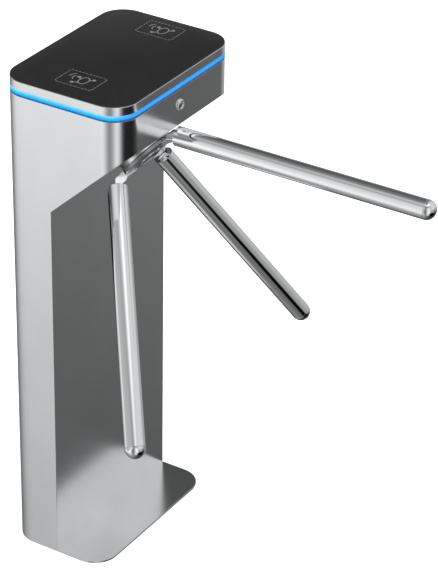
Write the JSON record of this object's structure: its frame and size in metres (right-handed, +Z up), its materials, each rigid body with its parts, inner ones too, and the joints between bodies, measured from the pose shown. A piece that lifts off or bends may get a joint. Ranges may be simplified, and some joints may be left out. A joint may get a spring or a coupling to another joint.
{
  "type": "visitor counter turnstile",
  "caption": "Steel tripod turnstile with an overhanging head, inclined hub, chromed arms, black card-reader lid, blue light strip and a locking, turn-counting mechanism.",
  "frame": {"origin": "middle of the base plate's underside, on the floor", "axes": "+Z up, +X from the column towards the side where the arms stand, +Y along the cabinet's long side"},
  "size_m": [0.7552, 0.686, 0.98],
  "materials": {
    "brushed_steel": "brushed, satin",
    "chrome": "polished",
    "black_glass": "gloss",
    "black_plastic": "satin",
    "light_strip": "translucent, lit blue",
    "machined_steel": "turned",
    "zinc_plate": "zinc plated",
    "spring_steel": "drawn wire",
    "circuit_board": "solder mask",
    "aluminium": "anodised",
    "rubber": "matte"
  },
  "bodies": {
    "cabinet": {"anchor_bolt_1": "zinc_plate", "anchor_bolt_2": "zinc_plate", "anchor_bolt_3": "zinc_plate", "anchor_bolt_4": "zinc_plate", "back_plate": "zinc_plate", "base_plate": "brushed_steel", "bearing_housing": "machined_steel", "bearing_plate": "zinc_plate", "cable_grommet": "rubber", "chassis_side_left": "zinc_plate", "chassis_side_right": "zinc_plate", "controller_board": "circuit_board", "detent_pivot_pin": "machined_steel", "detent_spring": "spring_steel", "fixed_hinge_leaf": "zinc_plate", "front_bearing": "machined_steel", "housing_shell": "brushed_steel", "hub_collar": "brushed_steel", "led_strip": "light_strip", "lid_hinge_pin": "machined_steel", "lock_barrel": "chrome", "pawl_pin_left": "machined_steel", "pawl_pin_right": "machined_steel", "position_sensor": "black_plastic", "power_supply": "aluminium", "rear_bearing": "machined_steel", "rear_service_panel": "brushed_steel", "recess_panel": "brushed_steel", "seam_frame": "black_plastic", "solenoid_left": "black_plastic", "solenoid_right": "black_plastic"},
    "lid": {"lid_frame": "brushed_steel", "top_panel": "black_glass", "card_reader_1": "black_plastic", "card_reader_2": "black_plastic", "lid_hinge_leaf": "zinc_plate", "lid_catch": "zinc_plate"},
    "lock": {"lock_plug": "chrome", "lock_cam": "zinc_plate"},
    "tripod": {"main_shaft": "machined_steel", "hub_disc": "chrome", "hub_cap": "chrome", "index_cam": "machined_steel", "lock_disc": "machined_steel", "sensor_disc": "aluminium", "arm_knuckle_1": "chrome", "arm_knuckle_2": "chrome", "arm_knuckle_3": "chrome", "arm_tube_1": "chrome", "arm_tube_2": "chrome", "arm_tube_3": "chrome", "arm_cap_1": "chrome", "arm_cap_2": "chrome", "arm_cap_3": "chrome"},
    "detent": {"detent_lever": "zinc_plate"},
    "roller": {"detent_roller": "machined_steel"},
    "pawl_left": {"pawl_left": "machined_steel"},
    "pawl_right": {"pawl_right": "machined_steel"},
    "plunger_left": {"plunger_left": "machined_steel"},
    "plunger_right": {"plunger_right": "machined_steel"}
  },
  "joints": [
    {"name": "tripod_turn", "type": "hinge", "parent": "cabinet", "child": "tripod", "pos_m": [0.07925, 0, 0.811], "axis": [0.7615, 0, -0.6481], "continuous": true},
    {"name": "lid_hinge", "type": "hinge", "parent": "cabinet", "child": "lid", "pos_m": [-0.1005, 0, 0.958], "axis": [0, -1, 0], "range_deg": [0, 75]},
    {"name": "lock_turn", "type": "hinge", "parent": "cabinet", "child": "lock", "pos_m": [0.156, 0, 0.92], "axis": [-1, 0, 0], "range_deg": [0, 90]},
    {"name": "detent_lift", "type": "hinge", "parent": "cabinet", "child": "detent", "pos_m": [0.03709, -0.064, 0.89415], "axis": [-0.7615, 0, 0.6481], "range_deg": [0, 6], "stiffness_Nm_per_rad": 2, "springref_deg": -17.19, "deforming": ["detent_spring"]},
    {"name": "roller_spin", "type": "hinge", "parent": "detent", "child": "roller", "pos_m": [0.0069, -0.049, 0.87257], "axis": [0.7615, 0, -0.6481], "continuous": true},
    {"name": "pawl_left_swing", "type": "hinge", "parent": "cabinet", "child": "pawl_left", "pos_m": [-0.0272, -0.055, 0.85564], "axis": [-0.7615, 0, 0.6481], "range_deg": [0, 7.5], "stiffness_Nm_per_rad": 0.5, "springref_deg": -8.59},
    {"name": "pawl_right_swing", "type": "hinge", "parent": "cabinet", "child": "pawl_right", "pos_m": [-0.0272, 0.055, 0.85564], "axis": [0.7615, 0, -0.6481], "range_deg": [0, 7.5], "stiffness_Nm_per_rad": 0.5, "springref_deg": -8.59},
    {"name": "plunger_left_slide", "type": "slide", "parent": "cabinet", "child": "plunger_left", "axis": [0.6481, 0, 0.7615], "range_m": [0, 0.0045]},
    {"name": "plunger_right_slide", "type": "slide", "parent": "cabinet", "child": "plunger_right", "axis": [0.6481, 0, 0.7615], "range_m": [0, 0.0045]}
  ],
  "couplings": [
    {"joint": "plunger_left_slide", "follows": "pawl_left_swing", "m_per_rad": 0.03},
    {"joint": "plunger_right_slide", "follows": "pawl_right_swing", "m_per_rad": 0.03}
  ]
}
